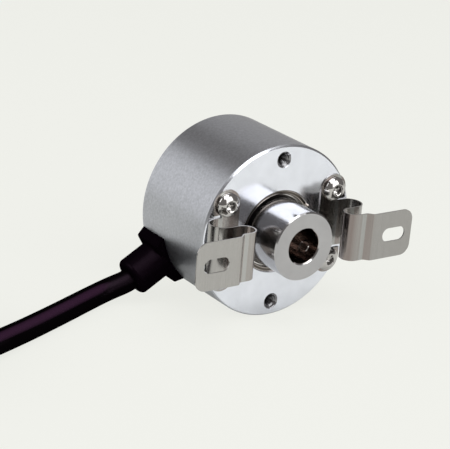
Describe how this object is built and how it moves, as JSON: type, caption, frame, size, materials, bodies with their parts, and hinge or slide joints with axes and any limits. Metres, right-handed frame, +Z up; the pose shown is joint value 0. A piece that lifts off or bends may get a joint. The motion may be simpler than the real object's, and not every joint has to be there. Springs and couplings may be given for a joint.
{
  "type": "incremental rotary encoder",
  "caption": "Hollow-shaft rotary encoder with a sheet-metal stator coupling, ball bearings, a code disc and a radial cable; turns shaft angle into pulses.",
  "frame": {"origin": "on the encoder's axis, in the front face of the flange", "axes": "+Y along the shaft, from the front to the rear; X runs through the two coupling wings; +Z is up, through the two free tapped holes, with the encoder lying on its round side"},
  "size_m": [0.1755, 0.07, 0.04],
  "materials": {
    "flange": "turned, bright",
    "housing_cap": "bead blasted, satin",
    "hollow_shaft": "polished stainless",
    "set_screws": "plain",
    "front_bearing_outer": "ground",
    "front_bearing_inner": "ground",
    "front_balls": "polished",
    "front_cage": "plain",
    "rear_bearing_outer": "ground",
    "rear_bearing_inner": "ground",
    "rear_balls": "polished",
    "rear_cage": "plain",
    "bearing_shields": "dark steel",
    "snap_ring": "spring steel",
    "wave_washer": "spring steel",
    "bearing_spacer": "ground",
    "shaft_circlip": "phosphated",
    "disc_hub": "turned",
    "code_disc": "etched nickel",
    "disc_clamp": "turned",
    "disc_screw": "plain",
    "led_holder": "moulded",
    "led_lens": "clear",
    "sensor_chip": "moulded",
    "main_board": "solder mask",
    "board_chips": "moulded",
    "board_posts": "brass plated",
    "board_screws": "zinc plated",
    "wire_connector": "moulded",
    "inner_wires": "insulated",
    "o_ring": "moulded",
    "left_coupling_spring": "rolled stainless",
    "right_coupling_spring": "rolled stainless",
    "coupling_screws": "polished stainless",
    "cable_boot": "moulded, slight sheen",
    "cable_end": "jacket",
    "cable_crimp": "plain",
    "cable_lead": "jacket, slight sheen",
    "cable_coil": "jacket, slight sheen",
    "cable_tail": "jacket, slight sheen",
    "cable_ties": "nylon",
    "lead_wires": "insulated, tinned ends"
  },
  "bodies": {
    "housing": {"flange": "flange", "housing_cap": "housing_cap", "front_bearing_outer": "front_bearing_outer", "rear_bearing_outer": "rear_bearing_outer", "bearing_shields": "bearing_shields", "snap_ring": "snap_ring", "wave_washer": "wave_washer", "led_holder": "led_holder", "led_lens": "led_lens", "sensor_chip": "sensor_chip", "main_board": "main_board", "board_chips": "board_chips", "board_posts": "board_posts", "board_screws": "board_screws", "wire_connector": "wire_connector", "inner_wires": "inner_wires", "o_ring": "o_ring", "left_coupling_spring": "left_coupling_spring", "right_coupling_spring": "right_coupling_spring", "coupling_screws": "coupling_screws", "cable_boot": "cable_boot", "cable_end": "cable_end", "cable_crimp": "cable_crimp", "cable_lead": "cable_lead", "cable_coil": "cable_coil", "cable_tail": "cable_tail", "cable_ties": "cable_ties", "lead_wires": "lead_wires"},
    "shaft": {"hollow_shaft": "hollow_shaft", "set_screws": "set_screws", "front_bearing_inner": "front_bearing_inner", "rear_bearing_inner": "rear_bearing_inner", "bearing_spacer": "bearing_spacer", "shaft_circlip": "shaft_circlip", "disc_hub": "disc_hub", "code_disc": "code_disc", "disc_clamp": "disc_clamp", "disc_screw": "disc_screw"},
    "front_ball_row": {"front_balls": "front_balls", "front_cage": "front_cage"},
    "rear_ball_row": {"rear_balls": "rear_balls", "rear_cage": "rear_cage"}
  },
  "joints": [
    {"name": "shaft_spin", "type": "hinge", "parent": "housing", "child": "shaft", "pos_m": [0, 0, 0], "axis": [0, 1, 0], "continuous": true},
    {"name": "front_ball_row_spin", "type": "hinge", "parent": "housing", "child": "front_ball_row", "pos_m": [0, 0, 0], "axis": [0, 1, 0], "continuous": true},
    {"name": "rear_ball_row_spin", "type": "hinge", "parent": "housing", "child": "rear_ball_row", "pos_m": [0, 0, 0], "axis": [0, 1, 0], "continuous": true}
  ],
  "couplings": [
    {"joint": "front_ball_row_spin", "follows": "shaft_spin", "ratio": 0.4179},
    {"joint": "rear_ball_row_spin", "follows": "shaft_spin", "ratio": 0.4179}
  ]
}
